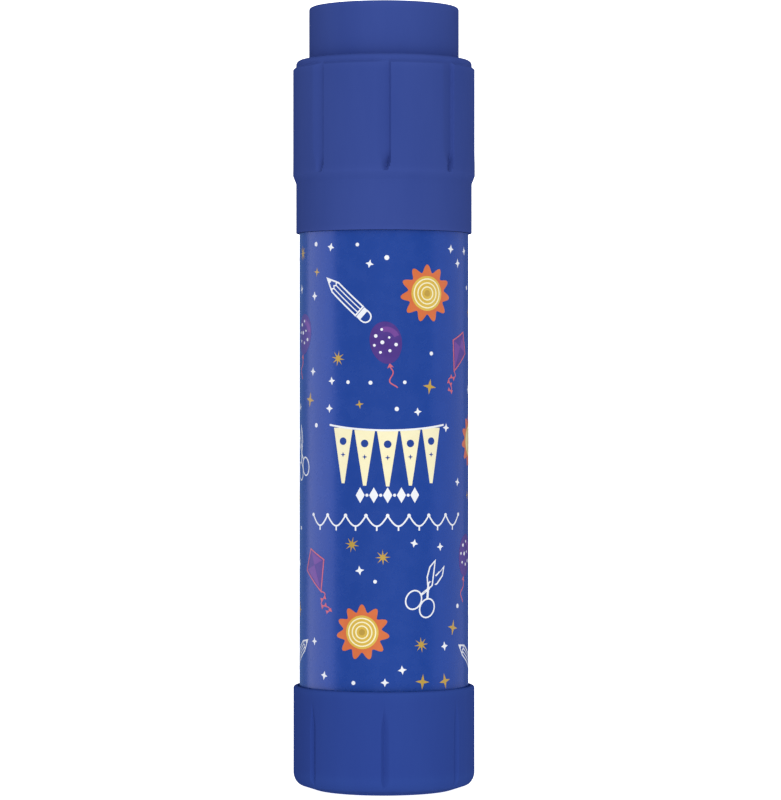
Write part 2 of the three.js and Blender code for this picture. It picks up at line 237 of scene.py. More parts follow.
mouldedLook = dict(
    flowSize=7.0, flowStretch=4.0, flowRange=(0.3, 0.7), colourShift=0.5,
    drawSize=0.35, drawStretch=0.03, drawRange=(0.25, 0.75), drawHeight=0.012, roughShift=0.06,
    grainSize=0.22, grainHeight=0.016,
)


def mouldedPlastic(name, deep, bright, worn, roughness, extra):
    # An injection-moulded part. The melt's flow leaves faint clouds drawn out along the axis, the
    # mould's ejection leaves fine lines along it, and the spark-eroded mould a fine even grain,
    # drawn about four times too coarse, so that it shows. Handled edges are a little paler.
    look = mouldedLook
    tree, shader = startMaterial(name, {"Base Color": linear(bright), "IOR": 1.49, **extra})
    where = addNode(tree, "TexCoord").outputs["Object"]
    flowPlace = addNode(tree, "Mapping", {
        "Vector": where, "Scale": (1, 1, 1 / look["flowStretch"])})
    flow = addNode(tree, "TexNoise", {
        "Vector": flowPlace, "Scale": perMm(look["flowSize"]), "Detail": 4.0, "Roughness": 0.55})
    drawPlace = addNode(tree, "Mapping", {"Vector": where, "Scale": (1, 1, look["drawStretch"])})
    draw = addNode(tree, "TexNoise", {
        "Vector": drawPlace, "Scale": perMm(look["drawSize"]), "Detail": 3.0})
    grain = addNode(tree, "TexNoise", {
        "Vector": where, "Scale": perMm(look["grainSize"]), "Detail": 2.0})
    wear = addNode(tree, "Attribute", attribute_name="wear")
    cloud = addNode(tree, "MapRange", {
        "Value": flow, **span("From", *look["flowRange"]),
        **span("To", 0.5 - look["colourShift"], 0.5 + look["colourShift"])})
    tone = addNode(tree, "Mix", {
        "Factor": cloud, "A": linear(deep), "B": linear(bright)}, data_type="RGBA")
    rubbed = addNode(tree, "Math", {0: wear.outputs["Fac"], 1: flow}, operation="MULTIPLY")
    colour = addNode(tree, "Mix", {
        "Factor": rubbed, "A": tone, "B": linear(worn)}, data_type="RGBA")
    rough = addNode(tree, "MapRange", {
        "Value": draw, **span("From", *look["drawRange"]),
        **span("To", roughness - look["roughShift"], roughness + look["roughShift"])})
    lines = addNode(tree, "Bump", {
        "Height": draw, "Distance": look["drawHeight"] * mm, "Strength": 0.35})
    relief = addNode(tree, "Bump", {
        "Height": grain, "Distance": look["grainHeight"] * mm, "Strength": 0.5, "Normal": lines})
    setInputs(tree, shader, {"Base Color": colour, "Roughness": rough, "Normal": relief})


nearlyMatt = {"Specular IOR Level": 0.01}
plastics = dict(
    # Polypropylene with blue masterbatch from a fine spark-eroded mould: deep, even and so matt
    # that it has next to no specular level. The base's batch is a little purer in colour.
    bluePolypropylene=("#364991", "#3b4e96", "#3d5099", 0.55, nearlyMatt),
    bluePolypropyleneBase=("#2d4491", "#304895", "#314b98", 0.55, nearlyMatt),
    # White polypropylene, moulded satin: slightly milky, so shadows in it stay light.
    whitePolypropylene=("#eceae6", "#f4f3f0", "#faf9f6", 0.38, milky(0.15, 0.0008, 0.0008, 0.0008)),
    # Polypropylene without pigment: greyish, cloudy, lets some light in.
    naturalPolypropylene=(
        "#dedcd2", "#e9e7df", "#f0efe8", 0.4, milky(0.35, 0.0015, 0.0014, 0.0012)),
    # Low-density polyethylene without pigment: softer and waxier than polypropylene.
    naturalPolyethylene=("#e0ded6", "#ebe9e3", "#f2f1ec", 0.5, milky(0.4, 0.002, 0.002, 0.0018)),
    # Nitrile rubber, moulded matt: nearly black, with a dull bloom.
    blackRubber=("#1d1d20", "#29292c", "#343438", 0.68, {}),
)
for name, finish in plastics.items():
    mouldedPlastic(name, *finish)

filmLook = dict(
    mottleSize=1.6, mottleRange=(0.3, 0.7), bandSize=5.0, bandStretch=9.0,
    densityRange=(0.7, 1.3), roughShift=0.03, peelSize=0.9, peelHeight=0.0015,
)


def printedSurface(name, deep, bright, roughness):
    # Ink on satin oriented polypropylene film: flat colour with a faint mottle of ink density and
    # bands of it along the printing direction, under a sheen with very slight waviness.
    look = filmLook
    tree, shader = startMaterial(name, {
        "Base Color": linear(bright), "IOR": 1.5, "Specular IOR Level": 0.4})
    where = addNode(tree, "TexCoord").outputs["Object"]
    mottle = addNode(tree, "TexNoise", {
        "Vector": where, "Scale": perMm(look["mottleSize"]), "Detail": 5.0, "Roughness": 0.6})
    bandPlace = addNode(tree, "Mapping", {
        "Vector": where, "Scale": (1, 1, 1 / look["bandStretch"])})
    bands = addNode(tree, "TexNoise", {
        "Vector": bandPlace, "Scale": perMm(look["bandSize"]), "Detail": 2.0})
    both = addNode(tree, "Math", {0: mottle, 1: bands}, operation="ADD")
    density = addNode(tree, "MapRange", {"Value": both, **span("From", *look["densityRange"])})
    colour = addNode(tree, "Mix", {
        "Factor": density, "A": linear(deep), "B": linear(bright)}, data_type="RGBA")
    rough = addNode(tree, "MapRange", {
        "Value": mottle, **span("From", *look["mottleRange"]),
        **span("To", roughness - look["roughShift"], roughness + look["roughShift"])})
    peel = addNode(tree, "TexNoise", {
        "Vector": where, "Scale": perMm(look["peelSize"]), "Detail": 1.0})
    wave = addNode(tree, "Bump", {
        "Height": peel, "Distance": look["peelHeight"] * mm, "Strength": 0.6})
    setInputs(tree, shader, {"Base Color": colour, "Roughness": rough, "Normal": wave})


printedSurface("blueFilm", "#18429b", "#1e47a2", 0.27)
inkColours = dict(
    white=("#eef2fa", "#f8fafd"), cream=("#f9f0c2", "#fff8d2"), gold=("#bd9a3c", "#d0ab4b"),
    yellow=("#d9b340", "#e6c75a"), orange=("#d86a38", "#e27a44"), violet=("#4a2d86", "#573a96"),
    plum=("#6d3a96", "#7c4aa2"), rose=("#c9586f", "#d8707e"), blue=("#18429b", "#1e47a2"),
)
for ink, (deep, bright) in inkColours.items():
    printedSurface("ink" + ink.capitalize(), deep, bright, 0.34)

glueLook = dict(smearSize=1.4, smearStretch=0.15, smearRange=(0.3, 0.7), smearHeight=0.03,
                poreSize=0.3, poreHeight=0.015, roughness=(0.3, 0.5))


def castGlue():
    # Cast solid glue: a hardened soap gel. Off-white and waxy, lit a little from within, with the
    # sheen of damp soap, fine pores and a few smears along its length.
    look = glueLook
    tree, shader = startMaterial("solidGlue", {
        "Base Color": linear("#f2eee0"), "IOR": 1.45, **milky(0.5, 0.003, 0.0027, 0.0022)})
    where = addNode(tree, "TexCoord").outputs["Object"]
    smearPlace = addNode(tree, "Mapping", {"Vector": where, "Scale": (1, 1, look["smearStretch"])})
    smear = addNode(tree, "TexNoise", {
        "Vector": smearPlace, "Scale": perMm(look["smearSize"]), "Detail": 4.0})
    pores = addNode(tree, "TexNoise", {
        "Vector": where, "Scale": perMm(look["poreSize"]), "Detail": 3.0})
    colour = addNode(tree, "Mix", {
        "Factor": smear, "A": linear("#ece7d6"), "B": linear("#f8f5ea")}, data_type="RGBA")
    rough = addNode(tree, "MapRange", {
        "Value": smear, **span("From", *look["smearRange"]), **span("To", *look["roughness"])})
    skin = addNode(tree, "Bump", {
        "Height": smear, "Distance": look["smearHeight"] * mm, "Strength": 0.5})
    pits = addNode(tree, "Bump", {
        "Height": pores, "Distance": look["poreHeight"] * mm, "Strength": 0.4, "Normal": skin})
    setInputs(tree, shader, {"Base Color": colour, "Roughness": rough, "Normal": pits})


castGlue()
print("finishes ready")


def softPositive(value, width):
    # max(value, 0) with its corner rounded over width: (value + sqrt(value^2 + width^2)) / 2
    return (value + np.sqrt(value * value + width * width)) / 2


def fromFlute(turn, look):
    # the angle from the nearest of a piece's flutes, which repeat evenly from its turn in degrees
    pitch = 2 * np.pi / look["flutes"]
    return (turn - np.radians(look["turn"]) + pitch / 2) % pitch - pitch / 2


def fluteDepth(x, left, right, depth, footRound):
    # A one-sided groove at a distance x from its foot: depth * min(1 + x / left, 1 - x / right),
    # with the foot rounded. Below 0 it lies outside the surface.
    leftSide, rightSide = 1 + x / left, 1 - x / right
    return depth * (leftSide - softPositive(leftSide - rightSide, footRound / depth))


def cutTo(radius, surface, cut, where, mostLift=2):
    # the lesser of the profile's radius and surface - cut, where the cut applies
    left = surface - np.clip(cut, -mostLift, None)
    return radius - np.where(where, softPositive(radius - left, softEdge), 0)


def squared(radius, turn, side):
    # A round section made square: min(r, half side) / max(|sin a|, |cos a|), so that rings inside
    # the bar or hole become squares one in the other.
    return np.minimum(radius, side / 2) / np.maximum(np.abs(np.sin(turn)), np.abs(np.cos(turn)))


# The cap: a nose, a collar of raised lands parted by flutes, and a plain skirt.
capBottom, capTop, landRadius = reach("cap_shell")
cap = dict(
    bore=8.85, skirt=9.70, nose=8.27, noseInner=7.07, noseLength=5.87, noseWall=1.2, noseEdge=0.3,
    ceiling=78.9, innerRound=0.3, ceilingRound=0.15, shoulderRound=0.45, shoulderRoot=0.15,
    lipRound=0.03, landTop=79.55, landChamfer=0.28, landBottom=67.58, landBevel=0.9,
    landRound=0.14, bevelRound=0.5, gateRadius=1.1, gateSlope=0.15, gateDepth=0.12, gateRound=0.08,
    flutes=8, turn=3.2, depth=0.35, left=1.5, right=0.2, footRound=0.13, fluteEnd=0.3,
    pocketLeft=0.8, pocketBelly=1.0, pocketHeight=2.3, pocketTip=0.4, pocketDepth=0.36,
    boreMargin=0.1,
    columns=((-10, -0.6, 0.9), (-0.6, 1.8, 0.2), (1.8, 35, 2.37)),
)


def capFlutes(radius, height, turn):
    # Towards the bottom the groove is deeper, its left side is steeper and its foot moves to the
    # left, which makes the drop-shaped pocket. A quarter round, as deep as the groove, lifts it off
    # over the height of the pocket's belly, and a straight line below that.
    above = height - cap["landBottom"]
    zone = [cap["pocketBelly"], cap["pocketHeight"]]
    left = np.interp(above, zone, [cap["pocketLeft"], cap["left"]])
    depth = np.interp(above, zone, [cap["depth"] + cap["pocketDepth"], cap["depth"]])
    fall = np.clip(1 - above / cap["pocketBelly"], 0, None)
    belly = np.minimum(fall, 1)
    x = landRadius * fromFlute(turn, cap) + cap["pocketTip"] * belly
    cut = fluteDepth(x, left, cap["right"], depth, cap["footRound"])
    cut -= depth * (1 - np.sqrt(1 - belly ** 2)) + np.clip(fall - 1, 0, None)
    outside = (above > -cap["fluteEnd"]) & (radius > cap["bore"] + cap["boreMargin"])
    return cutTo(radius, landRadius, cut, outside)


collarTop, capWall = capTop - cap["noseLength"], capTop - cap["noseWall"]
gateFloor = capTop - cap["gateDepth"]
capCorners = [
    (0, capWall),
    ("noseInner", capWall, "innerRound"),
    ("noseInner", "ceiling", "ceilingRound"),
    ("bore", "ceiling", "ceilingRound"),
    ("bore", capBottom, "lipRound"),
    ("skirt", capBottom, "lipRound"),
    ("skirt", cap["landBottom"] - cap["landBevel"], "bevelRound"),
    (landRadius, "landBottom", "bevelRound"),
    (landRadius, cap["landTop"] - cap["landChamfer"], "landRound"),
    ("skirt", "landTop", "landRound"),
    ("skirt", collarTop, "shoulderRound"),
    ("nose", collarTop, "shoulderRoot"),
    ("nose", capTop, "noseEdge"),
    (cap["gateRadius"] + cap["gateSlope"], capTop, "gateRound"),
    ("gateRadius", gateFloor, "gateRound"),
    (0, gateFloor),
]
capAngles = angleBands(cap["flutes"], cap["turn"], cap["columns"])
capShell = turnedPiece("capShell", cap, capCorners, capAngles, capFlutes, step=0.35)
place(capShell, "bluePolypropylene", "cap", "blue_pp", "cap_shell")

# The ring in the cap that seals the barrel's mouth.
plugBottom, plugTop, plugRadius = reach("cap_inner_plug")
plug = dict(skirt=7.45, wall=0.8, flange=1.0, lead=0.25, edge=0.1, columns=160)
plugInner, flangeFoot = plug["skirt"] - plug["wall"], plugTop - plug["flange"]
plugMiddle = (plugInner, (plugBottom + plugTop) / 2)
plugCorners = [
    plugMiddle,
    (plugInner, plugBottom, "edge"),
    ("skirt", plugBottom, "lead"),
    ("skirt", flangeFoot, "edge"),
    (plugRadius, flangeFoot, "edge"),
    (plugRadius, plugTop, "edge"),
    (plugInner, plugTop, "edge"),
    plugMiddle,
]
capPlug = turnedPiece("capPlug", plug, plugCorners, evenAngles(plug["columns"]), poles=False)
place(capPlug, "naturalPolyethylene", "cap", "natural_pe", "cap_inner_plug")

# The turning base.
knobBottom, knobTop = reach("knob")[:2]
knob = dict(
    flutes=7, turn=0.2, depth=0.32, left=0.36, right=0.55, footRound=0.05, full=7.5, end=10.1,
    boreMargin=0.3, radius=10.0, rimRadius=9.49, rimRecess=0.5, rimRound=0.3, rimEdge=0.03,
    heel=((2.35, 0.0, 0.72), (0.55, 0.6, 0.85), (0.0, 1.24, 1.67)),  # in from the side, up, fillet
    ringInner=6.6, recess=0.3, edge=0.1, floor=1.5, floorRound=0.3, cavity=8.75,
    boss=3.304, bossTop=10.45, bossRoot=0.2, socket=3.4, socketBottom=2.95,
    beadRadius=8.25, beadBottom=6.85, beadLength=1.1, snap=0.4,
    gateRadius=0.9, gateSlope=0.15, gateDepth=0.12, gateRound=0.06,
    columns=((-3, 1.0, 0.25), (1.0, 6, 0.4), (6, 48.4, 2.36)),
)


def knobFlutes(radius, height, turn):
    # The groove's steep side is on the left. Its lift rises in a straight line from 0 at full to
    # the whole depth at end, so that the groove runs out.
    x = knob["radius"] * fromFlute(turn, knob)
    cut = fluteDepth(x, knob["left"], knob["right"], knob["depth"], knob["footRound"])
    above = (height - knob["full"]) / (knob["end"] - knob["full"])
    cut -= knob["depth"] * np.clip(above, 0, None)
    grooved = cutTo(radius, knob["radius"], cut, radius > knob["cavity"] + knob["boreMargin"])
    # the socket for the spindle's square stem
    inSocket = (radius < knob["socket"] / 2 + hair) & (height > knob["socketBottom"] - hair)
    return np.where(inSocket, squared(radius, turn, knob["socket"]), grooved)


beadTop = knob["beadBottom"] + knob["beadLength"]
rimFloor, recessTop = knobTop - knob["rimRecess"], knobBottom + knob["recess"]
knobCorners = [
    (0, recessTop + knob["gateDepth"]),
    ("gateRadius", recessTop + knob["gateDepth"], "gateRound"),
    (knob["gateRadius"] + knob["gateSlope"], recessTop, "gateRound"),
    ("ringInner", recessTop, "edge"),
    ("ringInner", knobBottom, "edge"),
    *[(knob["radius"] - inward, knobBottom + up, fillet) for inward, up, fillet in knob["heel"]],
    ("radius", knobTop, "rimRound"),
    ("rimRadius", knobTop, "rimEdge"),
    ("rimRadius", rimFloor),
    ("cavity", rimFloor, "edge"),
    ("cavity", beadTop + knob["snap"]),
    ("beadRadius", beadTop),
    ("beadRadius", "beadBottom"),
    ("cavity", "beadBottom"),
    ("cavity", "floor", "floorRound"),
    ("boss", "floor", "bossRoot"),
    ("boss", "bossTop", "edge"),
    (knob["socket"] / 2, "bossTop"),
    (knob["socket"] / 2, "socketBottom"),
    (0, "socketBottom"),
]
knobAngles = angleBands(knob["flutes"], knob["turn"], knob["columns"])
turningBase = turnedPiece(
    "turningBase", knob, knobCorners, knobAngles, knobFlutes, step=0.5, arcSteps=8)
place(turningBase, "bluePolypropyleneBase", "knob_drive", "blue_pp", "knob")

# The barrel: a tube with a neck and a bead for the cap, and a spigot that the base snaps over.
spigotFoot, mouth, barrelRadius = reach("barrel")
filmFoot, shoulderSeam = reach("label_sleeve")[:2]
barrel = dict(
    bore=7.6, neck=8.55, lip=0.3, bead=0.16, beadRise=3.2, beadLength=1.2, beadRound=0.6,
    beadRoot=0.3, spigot=8.1, spigotInner=7.0, snap=0.4, snapLength=1.1, floorTop=13.55,
    floorBottom=12.15, journal=2.75, ringRecess=3.7, ringDepth=0.8, edge=0.1, shoulderEdge=0.06,
    ribHeight=0.4, ribWidth=1.0, ribEdge=0.06, ribSetback=4.0, ribEnd=0.1,
    belowFilm=0.05, capGap=0.06, columns=((-5, 5, 0.25), (5, 175, 2.0)),
)
barrelFoot, shoulder = filmFoot - barrel["belowFilm"], capBottom - barrel["capGap"]


def onRibs(turn, radius, width, edge):
    # 1 up to half a width from the middle of the ribs at +X and -X, measured along a wall of that
    # radius, and 0 beside them, with a ramp as wide as edge between
    away = np.abs(turn % np.pi - np.pi / 2) * radius
    return np.clip((width / 2 - away) / edge + 0.5, 0, 1)


def guideRibs(radius, height, turn):
    # two ribs on the bore's wall, which end in a ramp below the mouth
    inside = onRibs(turn, barrel["bore"], barrel["ribWidth"], barrel["ribEdge"])
    along = np.clip((mouth - barrel["ribSetback"] - height) / barrel["ribEnd"], 0, 1)
    wall = (np.abs(radius - barrel["bore"]) < hair) & (height > barrel["floorTop"])
    return radius - np.where(wall, barrel["ribHeight"] * inside * along, 0)


beadMiddle, beadHalf = shoulder + barrel["beadRise"], barrel["beadLength"] / 2
snapTop, snapRadius = spigotFoot + barrel["snapLength"], barrel["spigot"] + barrel["snap"]
ribTop, ringFloor = mouth - barrel["ribSetback"], barrel["floorTop"] - barrel["ringDepth"]
barrelCorners = [
    ("spigotInner", barrelFoot),
    ("spigotInner", spigotFoot, "edge"),
    ("spigot", spigotFoot, "edge"),
    (snapRadius, snapTop - barrel["snap"], "edge"),
    (snapRadius, snapTop, "edge"),
    ("spigot", snapTop),
    ("spigot", barrelFoot, "edge"),
    (barrelRadius, barrelFoot, "edge"),
    (barrelRadius, shoulder, "shoulderEdge"),
    ("neck", shoulder, "edge"),
    ("neck", beadMiddle - beadHalf, "beadRoot"),
    (barrel["neck"] + barrel["bead"], beadMiddle, "beadRound"),
    ("neck", beadMiddle + beadHalf, "beadRoot"),
    ("neck", mouth, "lip"),
    ("bore", mouth, "edge"),
    ("bore", ribTop + barrel["ribEnd"]),
    ("bore", ribTop - barrel["ribEnd"]),
    ("bore", "floorTop"),
    ("ringRecess", "floorTop"),
    ("ringRecess", ringFloor),
    ("journal", ringFloor),
    ("journal", "floorBottom"),
    ("spigotInner", "floorBottom"),
    ("spigotInner", barrelFoot),
]
ribAngles = angleBands(2, 90, barrel["columns"])
barrelTube = turnedPiece(
    "barrelTube", barrel, barrelCorners, ribAngles, guideRibs, poles=False, step=1.2)
place(barrelTube, "whitePolypropylene", "barrel_body", "white_pp", "barrel")

# The spindle, its packing ring, the carrier and the glue.
spindleFoot, spindleTop, flangeRadius = reach("spindle")
thread = dict(core=2.1, crest=3.0, lead=5.0, rootWidth=1.7, crestWidth=0.9, fit=0.25,
              start=14.85, bare=0.3, runOut=0.8)
spindle = dict(stem=3.2, journal=2.6, journalBottom=10.75, flangeBottom=13.85, flangeTop=14.85,
               edge=0.1, flangeEdge=0.15, tip=0.3, columns=72)


def threadHeight(height, turn, spread):
    # A left-hand ridge of trapezoid section. Its middle climbs by lead for each turn towards
    # smaller angles; 1 on the crest, falling in a straight line to 0 at half the root's width.
    phase = (height - thread["start"] + turn / (2 * np.pi) * thread["lead"]) / thread["lead"]
    away = np.abs(phase - np.round(phase)) * thread["lead"]
    half, top = thread["rootWidth"] / 2 + spread, thread["crestWidth"] / 2 + spread
    return np.clip((half - away) / (half - top), 0, 1)


def spindleThread(radius, height, turn):
    # the thread on the rod, which fades over runOut at both ends, and the square stem
    fromStart = (height - thread["start"] - thread["bare"]) / thread["runOut"]
    toTop = (spindleTop - thread["bare"] - height) / thread["runOut"]
    ends = np.clip(fromStart, 0, 1) * np.clip(toTop, 0, 1)
    ridge = (thread["crest"] - thread["core"]) * threadHeight(height, turn, 0) * ends
    rod = (np.abs(radius - thread["core"]) < hair) & (height > thread["start"])
    stem = (height < spindle["journalBottom"] + hair) & (radius < spindle["stem"] / 2 + hair)
    return np.where(stem, squared(radius, turn, spindle["stem"]), radius + np.where(rod, ridge, 0))


spindleCorners = [
    (0, spindleFoot),
    (spindle["stem"] / 2, spindleFoot, "edge"),
    (spindle["stem"] / 2, "journalBottom"),
    ("journal", "journalBottom", "edge"),
    ("journal", "flangeBottom"),
    (flangeRadius, "flangeBottom", "flangeEdge"),
    (flangeRadius, "flangeTop", "flangeEdge"),
    (thread["core"], "flangeTop"),
    (thread["core"], spindleTop, "tip"),
    (0, spindleTop),
]
spindleAngles = evenAngles(spindle["columns"])
threadedSpindle = turnedPiece(
    "threadedSpindle", spindle, spindleCorners, spindleAngles, spindleThread, step=0.2)
place(threadedSpindle, "naturalPolypropylene", "knob_drive", "natural_pp", "spindle")

ringBottom, ringTop, ringReach = reach("spindle_packing_ring")
cord = (ringTop - ringBottom) / 2  # half the ring's thickness
packing = dict(points=25, columns=96)
ringTurn = np.radians(np.linspace(-90, 270, packing["points"]))
ringCorners = [(ringReach - cord + cord * np.cos(a), ringBottom + cord + cord * np.sin(a))
               for a in ringTurn]
packingRing = turnedPiece(
    "packingRing", packing, ringCorners, evenAngles(packing["columns"]), poles=False)
place(packingRing, "blackRubber", "knob_drive", "seal_rubber", "spindle_packing_ring")

carrierBottom, carrierTop, carrierRadius = reach("carrier_cup")
glueFoot, glueTop = reach("glue_column")[:2]
slot = dict(floor=6.95, root=6.55, width=1.5, edge=0.05, columns=((-8, 8, 0.4), (8, 172, 2.5)))
carrier = dict(inner=6.45, floor=1.2, floorRound=0.2, nut=4.3, nutTop=19.65, bore=2.35,
               edge=0.1, footEdge=0.15)


def slotted(radius, turn, outside):
    # The two grooves that the barrel's ribs run in, at +X and -X: what lies between root and the
    # outside is squeezed evenly to between root and the groove's floor.
    squeezed = np.interp(radius, [slot["root"], outside], [slot["root"], slot["floor"]])
    inside = onRibs(turn, slot["floor"], slot["width"], slot["edge"])
    return np.where(radius > slot["root"], radius + (squeezed - radius) * inside, radius)


def carrierShape(radius, height, turn):
    # the grooves on the outside, and in the bore the nut's thread, cut wider than the spindle's
    deepest = thread["crest"] + thread["fit"] - carrier["bore"]
    nut = radius + deepest * threadHeight(height, turn, thread["fit"])
    inBore = np.abs(radius - carrier["bore"]) < hair
    return np.where(inBore, nut, slotted(radius, turn, carrierRadius))


carrierFloor = carrierBottom + carrier["floor"]
carrierCorners = [
    ("bore", carrierBottom),
    (carrierRadius, carrierBottom, "footEdge"),
    (carrierRadius, carrierTop, "edge"),
    ("inner", carrierTop, "edge"),
    ("inner", carrierFloor, "floorRound"),
    ("nut", carrierFloor, "edge"),
    ("nut", "nutTop", "edge"),
    ("bore", "nutTop"),
    ("bore", carrierBottom),
]
slotAngles = angleBands(2, 90, slot["columns"])
carrierCup = turnedPiece(
    "carrierCup", carrier, carrierCorners, slotAngles, carrierShape, poles=False, step=0.25)
place(carrierCup, "naturalPolypropylene", "glue_carriage", "natural_pp", "carrier_cup")

glue = dict(radius=7.3, cupRadius=6.15, aboveCup=0.3, hub=4.6, hubTop=19.95, rod=3.3, rodTop=68.8,
            footEdge=0.1, edge=0.35, dome=0.06, domeRadius=4.0, domeRound=3.0,
            waver=0.012, waverFrom=6.5, waverOver=0.5)


def glueShape(radius, height, turn):
    # The grooves, and the slight waver of a cast stick: it stays inside by a sum of slow sines,
    # |sin(3 a + 0.21 z) + 0.7 sin(5 a - 0.37 z + 1.3)| * waver.
    slow = np.sin(3 * turn + height * 0.21) + 0.7 * np.sin(5 * turn - height * 0.37 + 1.3)
    outside = np.clip((radius - glue["waverFrom"]) / glue["waverOver"], 0, 1)
    waver = glue["waver"] * slow * outside * (height > carrierTop)
    return slotted(radius, turn, glue["radius"]) - np.abs(waver)


glueLedge = carrierTop + glue["aboveCup"]
glueCorners = [
    (0, "rodTop"),
    ("rod", "rodTop"),
    ("rod", "hubTop"),
    ("hub", "hubTop"),
    ("hub", glueFoot),
    ("cupRadius", glueFoot),
    ("cupRadius", glueLedge),
    ("radius", glueLedge, "footEdge"),
    ("radius", glueTop - glue["dome"], "edge"),
    ("domeRadius", glueTop, "domeRound"),
    (0, glueTop),
]
glueColumn = turnedPiece("glueColumn", glue, glueCorners, slotAngles, glueShape, step=1.0)
place(glueColumn, "solidGlue", "glue_carriage", "glue", "glue_column")

# The label: a film that covers the barrel's white shoulder up to just under the cap.
film = dict(inner=9.21, thickness=0.12, lapStep=0.13, lapDegrees=360 / 42, columns=360, step=1.0,
            capGap=0.03)
filmHead = capBottom - film["capGap"]


def filmRadius(turn):
    # The film starts at the back, runs once round and climbs over its own start: the radius rises
    # by lapStep in a smooth ramp one lap's width before the turn is complete.
    rise = np.clip((turn - 3 * np.pi) / np.radians(film["lapDegrees"]) + 1, 0, 1)
    return film["inner"] + film["lapStep"] * rise * rise * (3 - 2 * rise)


def wrappedFilm():
    # A band of film: for each angle, a rectangle of the film's thickness by the label's height,
    # with its faces cut into steps, carried along the wrap and closed at both ends.
    turns = np.linspace(np.pi, 3 * np.pi + np.radians(film["lapDegrees"]), film["columns"])
    heights = np.linspace(filmFoot, filmHead, int((filmHead - filmFoot) / film["step"]))
    n = len(heights)
    outer = np.repeat([1, 0], n)
    section = np.concatenate([heights, heights[::-1]])
    radius = filmRadius(turns)[:, None] + film["thickness"] * outer
    points = aroundAxis(radius, turns[:, None], section).reshape(-1, 3) * mm
    quads, triangles = skinFaces(len(turns), len(section), False, False)
    k = np.arange(n - 1)
    start = np.stack([k, k + 1, 2 * n - 2 - k, 2 * n - 1 - k], -1)
    end = start[:, ::-1] + (len(turns) - 1) * len(section)
    return meshOf("labelFilm", points, np.concatenate([quads[:, ::-1], start, end]), triangles)


place(wrappedFilm(), "blueFilm", "barrel_body", "printed_film", "label_sleeve")

# The print on the label: flat drawings laid on the film, one mesh for each ink. A drawing's spot is
# its distance round the film, height, size and turn.
printRadius = film["inner"] + film["thickness"]
layers = dict(sink=-0.01, first=0.012, step=0.008, mitre=0.45)  # mitre: least cosine at a bend
tiny = 1e-9
inkMeshes = {}


def wrapped(flat, lift):
    # a flat drawing laid on the film: the angle is s / R, the radius R + lift and the height z
    return aroundAxis(printRadius + lift, flat[..., 0] / printRadius, flat[..., 1]) * mm


def addInk(ink, points, quads, triangles):
    # a store holds lists of points, quads and triangles, and the number of points so far
    store = inkMeshes.setdefault(ink, [[], [], [], 0])
    for part, new in zip(store, (points, quads + store[3], triangles + store[3])):
        part.append(new)
    store[3] += len(points)


def laid(flat, spot):
    # turns a drawing by spot's angle, sizes it and moves it to its place on the film
    s, z, size, degrees = spot
    c, d = np.cos(np.radians(degrees)), np.sin(np.radians(degrees))
    x, y = flat[..., 0] * size, flat[..., 1] * size
    return np.stack([s + x * c - y * d, z + x * d + y * c], -1)


def within(spot, x, y, size):
    # the spot of a small upright drawing at x, y in a bigger one
    return (*laid(np.array([x, y]), spot), size * spot[2], 0)


def blot(ink, outline, spot, layer=0, rings=2):
    # A filled shape: rings of points from its middle out to its outline, a top and a sunk bottom.
    share = np.linspace(0, 1, rings + 1)[:, None, None]
    middle = outline.mean(0)
    grid = laid(middle + (outline - middle) * share, spot)
    top = wrapped(grid[::-1], layers["first"] + layers["step"] * layer)
    points = np.concatenate([wrapped(grid, layers["sink"]), top])
    faces = skinFaces(*points.shape[:2], True, False)
    addInk(ink, *withoutSpares(points.reshape(-1, 3), *faces))


def unitRows(vectors):
    # each row over its length, and rows without a length left as they are
    return vectors / np.maximum(np.hypot(*vectors.T), tiny)[:, None]


def stroke(ink, path, width, spot, layer=0, closed=False):
    # A drawn line: a flat rectangle carried along the path. Its sides stand off the path by half
    # the width along the mitre, which is the mean of the two normals over the cosine between them.
    width = width / spot[2]  # lines keep their width when a drawing is sized
    ahead, behind = np.roll(path, -1, 0) - path, path - np.roll(path, 1, 0)
    if not closed:
        ahead[-1], behind[0] = behind[-1], ahead[0]
    ahead = unitRows(ahead)
    mean = unitRows(ahead + unitRows(behind))
    stretch = 1 / np.clip((mean * ahead).sum(1), layers["mitre"], 1)
    side = np.stack([mean[:, 1], -mean[:, 0]], -1) * (stretch * width / 2)[:, None]
    lift = layers["first"] + layers["step"] * layer
    left, right = laid(path - side, spot), laid(path + side, spot)
    points = np.stack([wrapped(left, lift), wrapped(right, lift),
                       wrapped(right, layers["sink"]), wrapped(left, layers["sink"])], 1)
    quads, triangles = skinFaces(len(path), 4, False, closed)
    if not closed:
        last = (len(path) - 1) * 4
        ends = np.array([[3, 2, 1, 0], [last, last + 1, last + 2, last + 3]])
        quads = np.concatenate([quads, ends])
    addInk(ink, points.reshape(-1, 3), quads, triangles)


def densified(path, step, closed=False):
    # the same path with points at most step apart
    path = np.asarray(path, float)
    if closed:
        path = np.concatenate([path, path[:1]])
    gaps = np.hypot(*np.diff(path, axis=0).T)
    counts = np.maximum(1, np.ceil(gaps / step)).astype(int)
    at = np.concatenate([k + np.arange(n) / n for k, n in enumerate(counts)] + [[len(path) - 1]])
    dense = np.stack([np.interp(at, np.arange(len(path)), path[:, i]) for i in (0, 1)], -1)
    return dense[:-1] if closed else dense


def polar(radius, count):
    # an outline from a radius, or from one for each angle, anticlockwise from the top
    angle = np.linspace(0, 2 * np.pi, count, endpoint=False)
    r = (radius(angle) if callable(radius) else radius) * np.ones(count)
    return np.stack([-r * np.sin(angle), r * np.cos(angle)], -1)


def arcPath(middle, radius, start, end, count, squash=1.0):
    angle = np.radians(np.linspace(start, end, count))
    x, y = radius * np.cos(angle), squash * radius * np.sin(angle)
    return np.stack([middle[0] + x, middle[1] + y], -1)


